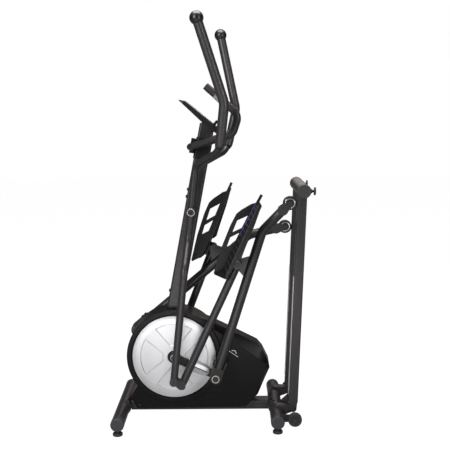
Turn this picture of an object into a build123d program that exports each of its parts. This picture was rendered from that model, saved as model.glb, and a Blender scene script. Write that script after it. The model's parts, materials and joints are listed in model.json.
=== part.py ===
from build123d import *
import math
import os

# Folding front-drive elliptical trainer, standing folded for storage.
# Millimetres.  +X runs to the rear, +Y to the user's right, +Z up from the floor.
# The origin is on the floor, midway between the front stabilizer and the rail feet.
# "left" is the -Y side.  Many parts are drawn in a frame of their own (swing arm, pedal link,
# roller arm, crank, rail) and placed by that frame's pivot and angle.

os.makedirs("parts", exist_ok=True)

LEFT = -1
RIGHT = 1
SIDES = {"left": LEFT, "right": RIGHT}

# ---- linkage, seen from the side: (x, z) ----
AXLE = (-163.8, 270.5)            # crank axle
CRANK_LENGTH = 188.6
CRANK_ANGLE = -23.9               # left crank, up from the rearward direction
MAST_PIVOT = (-83.7, 875.4)       # pivot of both swing arms
SWING_DROP = 675.1                # mast pivot to the swing arm's lower bolt
LINK_LENGTH = 533.8               # swing arm's lower bolt to the pedal link's pivot
ARM_LENGTH = 780.3                # crank pin to roller axle
ARM_PIVOT = (475.6, 100.2)        # pedal link's pivot in the roller arm's frame
ARM_BEND = (634.0, 57.9)          # corner of the bent tube in the roller arm's frame
ARM_BRACKET = [(428, 42), (461, 106), (490, 106), (532, 52)]
RAIL_HINGE = (323.5, 70.0)
RAIL_LEAN = 2.485                 # how far the folded rails lean back

# ---- sideways stations, distances from the middle plane ----
HOUSING_HALF = 60.0
DISC_INNER = 63.0
DISC_OUTER = 68.0
CRANK_ARM_INNER = 71.0
CRANK_ARM_OUTER = 84.0
CRANK_BOSS_END = 92.0
JOINT_START = 93.0                # crank joint of the roller arm begins here
JOINT_END = 130.0
ARM_Y = 116.0                     # roller arms, rollers and rails
LINK_Y = 154.0                    # pedal links and pedals
SWING_UPPER_Y = 75.0
SWING_LOWER_Y = 190.0

# ---- tubes ----
ARM_TUBE = 19.0
LINK_TUBE = 16.0
SWING_TUBE = 15.0
WALL = 2.0
FOAM = 19.0
BAR_TUBE = 14.5
STABILIZER_TUBE = 27.0
MAST_SIZE = (61.0, 44.0)
MAST_LEAN = 10.98                 # the mast's middle line passes through the swing arms' pivot
MAST_START = 199.0                # along the mast, from the crank axle's height
MAST_END = 974.0
BEAM = (60.0, 40.0)               # width and height
BEAM_BOTTOM = 29.0

# ---- base ----
FRONT_X = -381.5
REAR_X = 257.0
STABILIZER_Z = 47.0
FRONT_HALF = 255.0
REAR_HALF = 240.0
CAP_LENGTH = 33.0
FOOT_INSET = 18.0
FOOT_RADIUS = 20.0
FOOT_HEIGHT = 13.0
STUD = 5.0
LOOSE = 0.4                       # gap round a threaded or loose pin
RUNNING = 0.05                    # gap round a shaft that turns in its hole
WHEEL = (327.0, 48.0)
WHEEL_RADIUS = 28.0
WHEEL_INNER = 192.0
WHEEL_WIDTH = 22.0

# ---- rails ----
RAIL_SIZE = (38.0, 46.0)          # thickness and width
RAIL_START = 24.0
RAIL_END = 884.0
CROSS_TUBE_Z = 897.0
CROSS_HALF = 210.0
CROSS_TUBE = 27.0
RAIL_FOOT_Y = 178.0
RAIL_FOOT_REACH = 47.0            # cross tube axis to the sole of the foot
ROLLER = 28.0
ROLLER_WIDTH = 30.0
ROLLER_GAP = 0.4
TRACK_STRIP = 1.5
TRACK_SPAN = (60.0, 545.0)
LOCK_PIN = (RAIL_HINGE[0] - 4, RAIL_HINGE[1] + 42)
LOCK_PLATE = (-86.0, -81.0)

# ---- crank and drive ----
DISC_RADIUS = 173.0
RIM_RADIUS = 197.0
AXLE_RADIUS = 10.0
SHELL_RADIUS = 24.0               # bottom bracket shell
PULLEY_RADIUS = 148.0
PULLEY_Y = (30.0, 42.0)
SMALL_PULLEY = 24.0
FLYWHEEL = (95.0, 190.0)
FLYWHEEL_RADIUS = 92.0
FLYWHEEL_Y = (-22.0, 2.0)
BELT = 3.0
BRAKE_PIVOT = (-22.0, 176.0)

# ---- housing outlines, seen from the side: (x, z), from the rim's top round the back ----
OUTER_BACK = [(-58, 437), (66, 377), (182, 318), (204, 292), (229, 240), (233, 215), (214, 172), (183, 99)]
INNER_BACK = [(-70, 423), (-12, 391), (84, 334), (176, 266), (213, 236), (217, 213), (200, 172), (174, 104)]
UNDERSIDE = [(133, 52), (-322, 47), (-350, 96), (-318, 148)]

# ---- handles and console ----
HANDLE_POINTS = [(0, 0, 132), (0, 0, 190), (92, 163, 262), (93, 187, 444), (-39, 212, 742)]
BAR_FRONT = (-84.5, 1136.0)
BAR_BENDS = [32, 42, 40]
CONSOLE_TILT = 39.6
CONSOLE = (-50.0, 1263.0)         # middle of the slab, seen from the side
CONSOLE_SIDE = [(-77, 11), (109, 11), (113, 7), (108, -11), (20, -11), (-100, -2.5)]
CONSOLE_CORNER = 26.0
LEDGE = (68.0, 78.0, 19.0)        # start, end and height of the reading ledge
CONSOLE_HALF = 88.0
CONSOLE_THICK = 22.0
BUTTON_X = 93.0
BUTTON_YS = {"mode": -26.0, "reset": 26.0}

# ---- pedals, in the pedal link's frame: (x, z) ----
LINK_TAIL = (-552.0, -39.0)       # lower end of the link's tube
LINK_SLOPE = math.degrees(math.atan2(-LINK_TAIL[1], -LINK_TAIL[0]))
PEDAL_HALF = 60.0
PEDAL_WALL = 6.0
TREAD_INNER = [(-66, 38), (262, 50)]      # toe and heel of the foot surface at the inner side
TREAD_OUTER = [(-60, 21), (262, 44)]      # the same at the outer side, which is lower
UNDER_INNER = [(257, 36), (30, 26), (-58, 30)]
UNDER_OUTER = [(257, 32), (30, 16), (-54, 14)]
SKIRT = [(262, 43), (251, 33), (186, 22), (134, 16), (81, 10), (40, 4), (24, 12), (20, 20), (60, 28)]
POCKET = [(-50, 16), (40, 22), (225, 33), (225, 0), (-50, 0)]
GUARD = [(-84, 64), (25, 86), (120, 97), (172, 98), (196, 88), (236, 64), (247, 52)]
WINDOWS = [
    [(187, 54), (150, 82), (99, 76), (132, 52)],
    [(110, 51), (76, 74), (36, 68), (61, 49)],
]
TOE_HIGH = [(-54, 31), (-60, 40), (-84, 64), (-89, 58)]
TOE_LOW = [(-54, 15), (-56, 24), (-62, 24), (-64, 18)]
RIDGES = 13


# ---------------------------------------------------------------- helpers

def heading(a, b):
    """Angle of the line from a to b, in degrees up from +X."""
    return math.degrees(math.atan2(b[1] - a[1], b[0] - a[0]))


def polar(centre, radius, degrees):
    angle = math.radians(degrees)
    return (centre[0] + radius * math.cos(angle), centre[1] + radius * math.sin(angle))


def circles_meet(a, radius_a, b, radius_b, turn):
    """The point at radius_a from a and radius_b from b, on the chosen side of the line a to b."""
    span = math.dist(a, b)
    angle = math.acos((radius_a**2 + span**2 - radius_b**2) / (2 * radius_a * span))
    return polar(a, radius_a, heading(a, b) + turn * math.degrees(angle))


def frame_at(origin, degrees):
    """A frame at origin whose +X points degrees up from the row's +X."""
    return Pos(origin[0], 0, origin[1]) * Rot(0, -degrees, 0)


def rod_y(x, z, radius, y0, y1):
    """A round bar along Y."""
    return Pos(x, (y0 + y1) / 2, z) * Rot(90, 0, 0) * Cylinder(radius, abs(y1 - y0))


def ring_y(x, z, outer, inner, y0, y1):
    return rod_y(x, z, outer, y0, y1) - rod_y(x, z, inner, min(y0, y1) - 1, max(y0, y1) + 1)


def rod_z(x, y, radius, z0, z1):
    return Pos(x, y, (z0 + z1) / 2) * Cylinder(radius, z1 - z0)


def rod_x(y, z, radius, x0, x1):
    return Pos((x0 + x1) / 2, y, z) * Rot(0, 90, 0) * Cylinder(radius, abs(x1 - x0))


def block(x0, x1, y0, y1, z0, z1):
    """A box between two corners."""
    size = (abs(x1 - x0), abs(y1 - y0), abs(z1 - z0))
    return Pos((x0 + x1) / 2, (y0 + y1) / 2, (z0 + z1) / 2) * Box(*size)


def plate_y(points, y0, y1):
    """A flat plate across Y from an outline of (x, z) points."""
    face = make_face(Polyline([(x, 0, z) for x, z in points], close=True))
    plate = extrude(face, amount=abs(y1 - y0), dir=(0, 1, 0))
    return Pos(0, min(y0, y1), 0) * plate


def strap_y(a, b, radius_a, radius_b, y0, y1):
    """A plate with round ends about a and b and straight sides between them."""
    span = math.dist(a, b)
    lean = math.degrees(math.acos((radius_a - radius_b) / span))
    way = heading(a, b)
    corners = [polar(a, radius_a, way + lean), polar(b, radius_b, way + lean)]
    corners += [polar(b, radius_b, way - lean), polar(a, radius_a, way - lean)]
    body = plate_y(corners, y0, y1)
    return body + rod_y(*a, radius_a, y0, y1) + rod_y(*b, radius_b, y0, y1)


def pipe(points, bends, outer, wall):
    """A bent tube through the points, with the given bend radii at its corners."""
    path = FilletPolyline(*points, radius=bends) if len(points) > 2 else Line(*points)
    start = Plane(origin=path @ 0, z_dir=path % 0)
    solid = sweep(start * Circle(outer), path=path)
    if wall:
        solid -= sweep(start * Circle(outer - wall), path=path)
    return solid


def rect_tube(size_x, size_y, wall, corner, z0, z1):
    """A box-section tube along Z."""
    outer = extrude(RectangleRounded(size_x, size_y, corner), z1 - z0)
    inner = extrude(RectangleRounded(size_x - 2 * wall, size_y - 2 * wall, corner - wall / 2), z1 - z0)
    return Pos(0, 0, z0) * (outer - inner)


def bolt_y(x, z, side, y_face, radius=7.0, height=5.0):
    """A hex-socket button head standing on a face that looks along side * Y."""
    head = rod_y(x, z, radius, side * y_face, side * (y_face + height))
    socket = Pos(x, side * (y_face + height), z) * Rot(90, 0, 0)
    socket *= extrude(RegularPolygon(radius * 0.42, 6), height * 0.5, both=True)
    return head - socket


def save(name, shapes):
    whole = Compound(list(shapes)) if isinstance(shapes, (list, tuple)) else shapes
    export_step(whole, f"parts/{name}.step")


# ---------------------------------------------------------------- where the linkage stands

def roller_position(pin):
    """Roller axle of the arm on this crank pin, with the roller leaning on the rail's track."""
    lean = math.radians(RAIL_LEAN)
    along = (math.sin(lean), math.cos(lean))
    offset = RAIL_SIZE[0] / 2 + ROLLER + ROLLER_GAP
    start = (RAIL_HINGE[0] - offset * along[1], RAIL_HINGE[1] + offset * along[0])
    to_start = (start[0] - pin[0], start[1] - pin[1])
    half = to_start[0] * along[0] + to_start[1] * along[1]
    rest = to_start[0] ** 2 + to_start[1] ** 2 - ARM_LENGTH**2
    reach = -half + math.sqrt(half * half - rest)
    return (start[0] + reach * along[0], start[1] + reach * along[1])


def linkage(side):
    """Pivots and frames of one side of the machine at rest."""
    pin = polar(AXLE, CRANK_LENGTH, CRANK_ANGLE if side == LEFT else CRANK_ANGLE + 180)
    roller = roller_position(pin)
    arm = frame_at(pin, heading(pin, roller))
    pivot_place = arm * Pos(ARM_PIVOT[0], 0, ARM_PIVOT[1])
    pivot = (pivot_place.position.X, pivot_place.position.Z)
    low_bolt = circles_meet(MAST_PIVOT, SWING_DROP, pivot, LINK_LENGTH, -1)
    link = frame_at(pivot, heading(low_bolt, pivot))
    swing = frame_at(MAST_PIVOT, heading(low_bolt, MAST_PIVOT) - 90)
    return {"pin": pin, "roller": roller, "arm": arm, "link": link, "swing": swing}


SIDE = {name: linkage(side) for name, side in SIDES.items()}
CRANK_FRAME = frame_at(AXLE, CRANK_ANGLE)
MAST_RISE = MAST_PIVOT[1] - AXLE[1]
MAST_FOOT = (MAST_PIVOT[0] - MAST_RISE * math.tan(math.radians(MAST_LEAN)), AXLE[1])
MAST_FRAME = frame_at(MAST_FOOT, -MAST_LEAN)
RAIL_FRAME = frame_at(RAIL_HINGE, -RAIL_LEAN)
CONSOLE_FRAME = frame_at(CONSOLE, -CONSOLE_TILT)


# ---------------------------------------------------------------- base frame

def saddle(x, facing):
    """Half a collar that grips a stabilizer from the beam's side."""
    collar = ring_y(x, STABILIZER_Z, STABILIZER_TUBE + 4.5, STABILIZER_TUBE, -52, 52)
    keep = block(x + facing * 4, x + facing * 60, -60, 60, 0, 120)
    return collar & keep


def main_frame():
    top = BEAM_BOTTOM + BEAM[1]
    x0 = FRONT_X + STABILIZER_TUBE + 3.0
    x1 = REAR_X - STABILIZER_TUBE - 3.0
    middle = BEAM_BOTTOM + BEAM[1] / 2
    beam = Pos(x0, 0, middle) * Rot(0, 90, 0) * rect_tube(BEAM[1], BEAM[0], 2.5, 6, 0, x1 - x0)
    frame = beam + saddle(FRONT_X, 1) + saddle(REAR_X, -1)
    post = Pos(AXLE[0], 0, 0) * rect_tube(50, 36, 2.5, 4, top - 1, AXLE[1] - SHELL_RADIUS + 6)
    shell = rod_y(*AXLE, SHELL_RADIUS, -26, 26)
    socket = MAST_FRAME * rect_tube(MAST_SIZE[0] - 6, MAST_SIZE[1] - 6, 2.5, 8, -14, 320)
    frame += post + shell + socket
    frame -= rod_y(*AXLE, 17.5, -30, 30)
    for y0, y1 in ((-32, -28), (46, 50)):
        foot = (FLYWHEEL[0], top)
        frame += strap_y(foot, FLYWHEEL, 24, 16, y0, y1) & block(-400, 300, -60, 60, top - 0.5, 400)
        frame += block(foot[0] - 24, foot[0] + 24, min(y0, 12), max(y1, -12), top - 0.5, top + 3)
        frame -= rod_y(*FLYWHEEL, 6.0, y0 - 1, y1 + 1)
    brake_post = strap_y((-22, top), BRAKE_PIVOT, 14, 10, -32, -27)
    frame += brake_post & block(-400, 300, -60, 60, top - 0.5, 400)
    frame += block(BRAKE_PIVOT[0] - 14, BRAKE_PIVOT[0] + 14, -32, -12, top - 0.5, top + 3)
    frame -= rod_y(*BRAKE_PIVOT, 5 + RUNNING, -40, -20)
    return frame


def stabilizer(x, half):
    tube_half = half - CAP_LENGTH
    return ring_y(x, STABILIZER_Z, STABILIZER_TUBE, STABILIZER_TUBE - WALL, -tube_half, tube_half)


def rear_stabilizer():
    """Rear cross tube with a welded plate and stub axle for each transport wheel."""
    tube = stabilizer(REAR_X, REAR_HALF)
    for side in SIDES.values():
        y0 = side * (WHEEL_INNER - 6)
        y1 = side * (WHEEL_INNER - 1)
        plate = strap_y((REAR_X + 20, STABILIZER_Z + 2), WHEEL, 17, 13, y0, y1)
        plate -= rod_y(REAR_X, STABILIZER_Z, STABILIZER_TUBE - 1, -300, 300)
        axle_end = side * (WHEEL_INNER + WHEEL_WIDTH + 1)
        tube += plate
        tube += rod_y(*WHEEL, 5, y1, axle_end)
        tube += rod_y(*WHEEL, 9, axle_end, axle_end + side * 3)
    return tube


def end_cap(x, side, half):
    inner = side * (half - CAP_LENGTH)
    cap = rod_y(x, STABILIZER_Z, STABILIZER_TUBE + 0.6, inner, side * half)
    cap = fillet(cap.edges().group_by(Axis.Y)[0 if side == LEFT else -1], 5)
    cap += rod_y(x, STABILIZER_Z, STABILIZER_TUBE - WALL - 0.2, inner, inner - side * 14)
    return cap - rod_z(x, side * (half - FOOT_INSET), STUD + LOOSE, 0, STABILIZER_Z + 2)


def stabilizer_end_caps():
    caps = []
    for x, half in ((FRONT_X, FRONT_HALF), (REAR_X, REAR_HALF)):
        caps += [end_cap(x, side, half) for side in SIDES.values()]
    return caps


def stabilizer_foot(x, side, half):
    """Screw-in foot: a ribbed disc on a threaded stud."""
    y = side * (half - FOOT_INSET)
    disc = rod_z(x, y, FOOT_RADIUS, 0, FOOT_HEIGHT)
    disc = chamfer(disc.edges().group_by(Axis.Z)[0], 2)
    disc = fillet(disc.edges().group_by(Axis.Z)[-1], 2.5)
    neck = rod_z(x, y, 9, FOOT_HEIGHT, STABILIZER_Z - STABILIZER_TUBE - 1.2)
    return disc + neck + rod_z(x, y, STUD, FOOT_HEIGHT, STABILIZER_Z)


def frame_fasteners():
    """Every fixed bolt of the base: saddle bolts, mast bolts and housing screws."""
    heads = []
    for x, facing in ((FRONT_X, 1), (REAR_X, -1)):
        for y in (-38, 38):
            turn = Pos(x, y, STABILIZER_Z) * Rot(0, facing * 42, 0)
            z0 = STABILIZER_TUBE + 4.5
            heads.append(turn * rod_z(0, 0, 8, z0, z0 + 6))
    half_y = MAST_SIZE[1] / 2
    for along in (MAST_START + 34, MAST_START + 92):
        for side in SIDES.values():
            heads.append(MAST_FRAME * bolt_y(0, along, side, half_y, 7.5, 5))
    half_x = MAST_SIZE[0] / 2
    for along in (MAST_START + 68, 668.0, 698.0):
        heads.append(MAST_FRAME * rod_x(0, along, 6.5, -half_x - 5, -half_x))
    for x, z in ((-312.0, 62.0), (121.0, 60.0)):
        for side in SIDES.values():
            heads.append(bolt_y(x, z, side, HOUSING_HALF, 4.0, 2.0))
    return heads


# ---------------------------------------------------------------- housing

def housing_face(back, y, inset):
    """The housing's outline at this station: a rim-sized arc closed by the corners behind it."""
    last = UNDERSIDE[-1]
    start_angle = heading(AXLE, back[0])
    end_angle = heading(AXLE, last) + 360
    arc = [polar(AXLE, RIM_RADIUS, a) for a in (start_angle, (start_angle + end_angle) / 2, end_angle)]
    corners = [arc[2]] + UNDERSIDE[-2::-1] + back[::-1][:-1] + [arc[0]]
    lines = Polyline([(x, y, z) for x, z in corners])
    curve = ThreePointArc(*[(x, y, z) for x, z in arc])
    face = make_face([*lines.edges(), *curve.edges()])
    if inset:
        face = offset(face, amount=-inset, kind=Kind.INTERSECTION)
    return face


def housing_solid(side, inset, half):
    shoulder = side * 40.0
    outer = housing_face(OUTER_BACK, 0, inset)
    core = extrude(outer, amount=40.0, dir=(0, side, 0))
    step = housing_face(OUTER_BACK, shoulder, inset)
    lid = housing_face(INNER_BACK, side * half, inset)
    return core + loft([step, lid], ruled=True)


def housing_shell(side):
    shell = housing_solid(side, 0, HOUSING_HALF)
    rim = ring_y(*AXLE, RIM_RADIUS, DISC_RADIUS + 4, side * HOUSING_HALF, side * (HOUSING_HALF + 9))
    edge = rim.edges().filter_by(GeomType.CIRCLE).group_by(Axis.Y)[0 if side == LEFT else -1]
    shell += fillet(edge, 3)
    shell -= housing_solid(side, 3.0, HOUSING_HALF - 3.0)
    shell -= rod_y(*AXLE, 30, 0, side * 90)
    shell -= block(-500, 400, -31, 31, 0, BEAM_BOTTOM + BEAM[1] + 1)
    shell -= MAST_FRAME * block(-MAST_SIZE[0] / 2 - 1, MAST_SIZE[0] / 2 + 1, -23, 23, 120, 330)
    return shell


# ---------------------------------------------------------------- mast, handlebar and console

def mast():
    tube = rect_tube(*MAST_SIZE, 2.5, 9, MAST_START, MAST_END)
    tube = MAST_FRAME * tube - above_console_base()
    return tube - rod_y(*MAST_PIVOT, AXLE_RADIUS, -60, 60)


def swing_pivot_axle():
    """Shaft through the mast that carries both swing arms, with its end washers and bolts."""
    end = SWING_UPPER_Y + SWING_TUBE + 3.0
    shaft = rod_y(*MAST_PIVOT, AXLE_RADIUS, -end, end)
    pieces = [shaft]
    for side in SIDES.values():
        washer = ring_y(*MAST_PIVOT, 17, 6, side * end, side * (end + 2.5))
        pieces.append(washer)
        pieces.append(bolt_y(*MAST_PIVOT, side, end + 2.5, 10, 6))
    return pieces


def bar_points(side):
    return [
        (BAR_FRONT[0], side * 58, BAR_FRONT[1]),
        (88, side * 150, 1187),
        (112, side * 165, 1262),
        (-16, side * 150, 1374.5),
    ]


def fixed_handlebar():
    left = bar_points(LEFT)[::-1]
    right = bar_points(RIGHT)
    bends = BAR_BENDS[::-1] + BAR_BENDS
    return pipe(left + right, bends, BAR_TUBE, WALL)


def pulse_sensors():
    """Two half sleeves of bright metal on the upper grip of each side."""
    plates = []
    for side in SIDES.values():
        corner, tip = bar_points(side)[2:]
        way = Vector(tip) - Vector(corner)
        place = Plane(origin=Vector(corner) + way * 0.52, z_dir=way)
        sleeve = Cylinder(BAR_TUBE + 1.2, 62) - Cylinder(BAR_TUBE, 62)
        for shift in (-40, 40):
            half = sleeve & Pos(0, shift, 0) * Box(80, 78, 80)
            plates.append(place.location * half)
    return plates


def handlebar_clamp_cover():
    """Plastic sleeve round the mast with a saddle that holds the bar against its front."""
    x, z = BAR_FRONT
    along = (z - AXLE[1]) / math.cos(math.radians(MAST_LEAN))
    sleeve = rect_tube(MAST_SIZE[0] + 6, MAST_SIZE[1] + 6, 3.0, 10, along - 52, along + 34)
    jaw = block(-MAST_SIZE[0] / 2 - 22, -MAST_SIZE[0] / 2 - 2.5, -27, 27, along - 34, along + 26)
    cover = MAST_FRAME * (sleeve + jaw)
    return cover - rod_y(x, z, BAR_TUBE, -80, 80)


def console_housing():
    """Wedge-shaped slab with a sunk display window, a reading ledge and a neck in the mast."""
    top = CONSOLE_THICK / 2
    slab = plate_y(CONSOLE_SIDE, -CONSOLE_HALF, CONSOLE_HALF)
    tip = min(x for x, z in CONSOLE_SIDE)
    inner = CONSOLE_HALF - CONSOLE_CORNER
    corner_cut = block(tip - 1, tip + CONSOLE_CORNER, inner, CONSOLE_HALF + 1, -50, 50)
    corner_cut -= rod_z(tip + CONSOLE_CORNER, inner, CONSOLE_CORNER, -60, 60)
    for side in SIDES.values():
        slab -= corner_cut if side == RIGHT else mirror(corner_cut, about=Plane.XZ)
    start, end, height = LEDGE
    ledge = block(start, end, -70, 70, top - 1, top + height)
    slab += fillet(ledge.edges().filter_by(Axis.Y).group_by(Axis.Z)[-1], 2)
    slab -= block(-66, 36, -62, 62, top - 3, top + 1)
    for y in BUTTON_YS.values():
        slab -= block(BUTTON_X - 7.5, BUTTON_X + 7.5, y - 14.5, y + 14.5, top - 6, top + 1)
    cavity = block(14, 100, -78, 78, -top + 3.5, top - 8)
    neck = MAST_FRAME * block(-24, 24, -16, 16, MAST_END - 80, MAST_END + 12)
    neck -= above_console_base()
    return CONSOLE_FRAME * (slab - cavity) + neck


def above_console_base():
    """Everything over the plane of the console's underside."""
    return CONSOLE_FRAME * block(-300, 300, -150, 150, -CONSOLE_THICK / 2, 300)


def console_lens():
    top = CONSOLE_THICK / 2
    return CONSOLE_FRAME * block(-65.8, 35.8, -61.8, 61.8, top - 3, top - 0.6)


def console_button(y):
    """A push button that stands 1.6 mm proud of the console's face."""
    top = CONSOLE_THICK / 2
    cap = block(BUTTON_X - 7, BUTTON_X + 7, y - 14, y + 14, top - 4.2, top + 1.6)
    cap = fillet(cap.edges().filter_by(Axis.Z), 2.5)
    return CONSOLE_FRAME * cap


# ---------------------------------------------------------------- swing arms and handles

def swing_arm(side):
    """Lower swing arm in its own frame: mast pivot at the origin, lower bolt straight below."""
    up = side * SWING_UPPER_Y
    low = side * SWING_LOWER_Y
    points = [(0, up, 132), (0, up, -118), (0, low, -222), (0, low, -SWING_DROP + 10)]
    arm = pipe(points, [60, 60], SWING_TUBE, WALL)
    arm += rod_y(0, 0, 21, side * 26, side * (SWING_UPPER_Y - 2))
    arm += rod_y(0, 0, 15, side * (SWING_UPPER_Y - 15), side * (SWING_UPPER_Y + SWING_TUBE + 2.5))
    arm -= rod_y(0, 0, AXLE_RADIUS + RUNNING, -200, 200)
    boss = rod_y(0, -SWING_DROP, 17, side * (SWING_LOWER_Y - 15), side * (SWING_LOWER_Y + 15))
    arm += boss
    return arm - rod_y(0, -SWING_DROP, 6, -300, 300)


def swing_arm_bolt(side):
    """Bolt and washer through the swing arm's lower boss."""
    y0 = side * (SWING_LOWER_Y - 15)
    y1 = side * (SWING_LOWER_Y + 15)
    bolt = rod_y(0, -SWING_DROP, 6, y0, y1 + side * 2)
    washer = ring_y(0, -SWING_DROP, 13, 6, y1, y1 + side * 2)
    return [bolt + bolt_y(0, -SWING_DROP, side, SWING_LOWER_Y + 17, 9, 5), washer]


def handle_path(side, first, last):
    points = [(x, side * (SWING_UPPER_Y + y), z) for x, y, z in HANDLE_POINTS]
    bends = [48, 70, 90]
    whole = FilletPolyline(*points, radius=bends)
    return whole.trim(first, last) if (first, last) != (0, 1) else whole


def along_handle(path, outer, inner):
    start = Plane(origin=path @ 0, z_dir=path % 0)
    solid = sweep(start * Circle(outer), path=path)
    return solid - sweep(start * Circle(inner), path=path)


def upper_handle(side):
    """Bent handle tube, bolted on the swing arm's upper end."""
    tube = along_handle(handle_path(side, 0, 1), SWING_TUBE - 1.5, SWING_TUBE - 3.5)
    y = side * SWING_UPPER_Y
    collar = rod_z(0, y, SWING_TUBE + 0.8, 132, 150) - rod_z(0, y, SWING_TUBE - 3.5, 130, 152)
    return tube + collar


def handle_grip(side):
    """Foam sleeve from the lower bend to the ball."""
    return along_handle(handle_path(side, 0.345, 1), FOAM, SWING_TUBE - 1.5)


def handle_ball(side):
    x, y, z = HANDLE_POINTS[-1]
    ball = Pos(x, side * (SWING_UPPER_Y + y), z) * Sphere(26.5)
    sleeve = sweep(ball_end_plane(side) * Circle(FOAM + 0.3), path=ball_end_path(side))
    return ball - sleeve


def ball_end_path(side):
    a, b = [Vector(x, side * (SWING_UPPER_Y + y), z) for x, y, z in HANDLE_POINTS[-2:]]
    way = (b - a).normalized()
    return Line(b - way * 40, b)


def ball_end_plane(side):
    path = ball_end_path(side)
    return Plane(origin=path @ 0, z_dir=path % 0)


# ---------------------------------------------------------------- pedal links and pedals

def pedal_link(side):
    """Tube with a forked top about the pivot and a lug that reaches forward to the lower bolt."""
    y = side * LINK_Y
    top = polar((0, 0), 4, LINK_SLOPE + 180)
    points = [(LINK_TAIL[0], y, LINK_TAIL[1]), (top[0], y, top[1])]
    link = pipe(points, [], LINK_TUBE, WALL)
    tail = Pos(LINK_TAIL[0], y, LINK_TAIL[1]) * Rot(0, -LINK_SLOPE, 0)
    link += tail * rod_x(0, 0, LINK_TUBE + 0.8, -3, 9)
    lug_y = (side * (LINK_Y + 4), side * (SWING_LOWER_Y - SWING_TUBE - 1))
    bolt = (-LINK_LENGTH, 0)
    mid = (LINK_TAIL[0] + 12, LINK_TAIL[1] + 3)
    link += strap_y(mid, bolt, 18, 16, *lug_y)
    end = rod_y(0, 0, LINK_TUBE, side * (LINK_Y - LINK_TUBE), side * (LINK_Y + LINK_TUBE))
    return link + end + bolt_y(0, 0, side, LINK_Y + LINK_TUBE, 8, 5)


def ruled(inner, outline_a, outer, outline_b):
    """A straight-sided solid from one outline at the inner side to another at the outer side."""
    faces = []
    for y, outline in ((inner, outline_a), (outer, outline_b)):
        faces.append(make_face(Polyline([(x, y, z) for x, z in outline], close=True)))
    return loft(faces, ruled=True)


def tread_height(line, x):
    """Height of the tread's inner or outer edge line at x."""
    (x0, z0), (x1, z1) = line
    return z0 + (z1 - z0) * (x - x0) / (x1 - x0)


def ridge(x, inner, outer):
    """One anti-slip ridge across the tread."""
    outlines = []
    for line in (TREAD_INNER, TREAD_OUTER):
        z = tread_height(line, x)
        outlines.append([(x - 3.5, z - 2), (x + 3.5, z - 2), (x + 2, z + 2), (x - 2, z + 2)])
    return ruled(inner, outlines[0], outer, outlines[1])


def pedal_saddle(y):
    """Block under the foot plate that sits on the link's tube."""
    saddle = block(-46, 14, y - 12, y + 12, 8, 22)
    saddle -= Rot(0, -LINK_SLOPE, 0) * rod_x(y, 0, LINK_TUBE + RUNNING, -80, 20)
    return saddle - rod_y(0, 0, LINK_TUBE + RUNNING, y - 30, y + 30)


def pedal(side):
    """Foot plate with a ridged tread, an outer skirt, a windowed inner guard and a heel tab."""
    inner = side * (LINK_Y - PEDAL_HALF)
    outer = side * (LINK_Y + PEDAL_HALF)
    body = ruled(inner, TREAD_INNER + UNDER_INNER, outer, TREAD_OUTER + UNDER_OUTER)
    body -= plate_y(POCKET, inner + side * PEDAL_WALL, outer - side * PEDAL_WALL)
    body += plate_y(SKIRT, outer, outer - side * PEDAL_WALL)
    body += pedal_saddle(side * LINK_Y)
    guard = plate_y([(250, 47), *GUARD[::-1], (-60, 34)], inner, inner + side * 5)
    for window in WINDOWS:
        guard -= plate_y(window, inner - side * 5, inner + side * 12)
    body += guard
    body += ruled(inner, TOE_HIGH, outer, TOE_LOW)
    for i in range(RIDGES):
        x = -48 + i * 288 / (RIDGES - 1)
        body += ridge(x, inner + side * 8, outer - side * 8)
    heel_z = TREAD_INNER[1][1]
    return body + block(248, 288, inner + side * 2, inner + side * 22, heel_z - 9, heel_z + 1)


# ---------------------------------------------------------------- roller arms, joints and rollers

def arm_lower_heading():
    return math.degrees(math.atan2(ARM_BEND[1], ARM_BEND[0]))


def roller_arm(side):
    """Bent tube with a fork for its roller and a bracket for the pedal link."""
    y = side * ARM_Y
    start = polar((0, 0), 44, arm_lower_heading())
    back = heading((ARM_LENGTH, 0), ARM_BEND)
    stop = polar((ARM_LENGTH, 0), 36, back)
    points = [(start[0], y, start[1]), (ARM_BEND[0], y, ARM_BEND[1]), (stop[0], y, stop[1])]
    arm = pipe(points, [70], ARM_TUBE, WALL)
    cap = polar((ARM_LENGTH, 0), 40, back)
    for s in (-1, 1):
        y0 = y + s * (ROLLER_WIDTH / 2 + 1.5)
        y1 = y + s * (ROLLER_WIDTH / 2 + 5.5)
        arm += strap_y(cap, (ARM_LENGTH, 0), 20, 11, y0, y1)
    arm -= rod_y(ARM_LENGTH, 0, ROLLER + 3, y - ROLLER_WIDTH / 2 - 1.5, y + ROLLER_WIDTH / 2 + 1.5)
    arm += rod_y(ARM_LENGTH, 0, 5, y - 24, y + 24)
    arm += rod_y(ARM_LENGTH, 0, 9, y - 24, y - 20.5)
    arm += rod_y(ARM_LENGTH, 0, 9, y + 20.5, y + 24)
    plate = plate_y(ARM_BRACKET, side * (ARM_Y - 3), side * (ARM_Y + 3))
    pivot = rod_y(*ARM_PIVOT, 14, side * (ARM_Y - 6), side * (LINK_Y - LINK_TUBE - 0.5))
    inside = pipe(points, [70], ARM_TUBE - 0.5, 0)
    return arm + (plate - inside) + pivot


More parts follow.
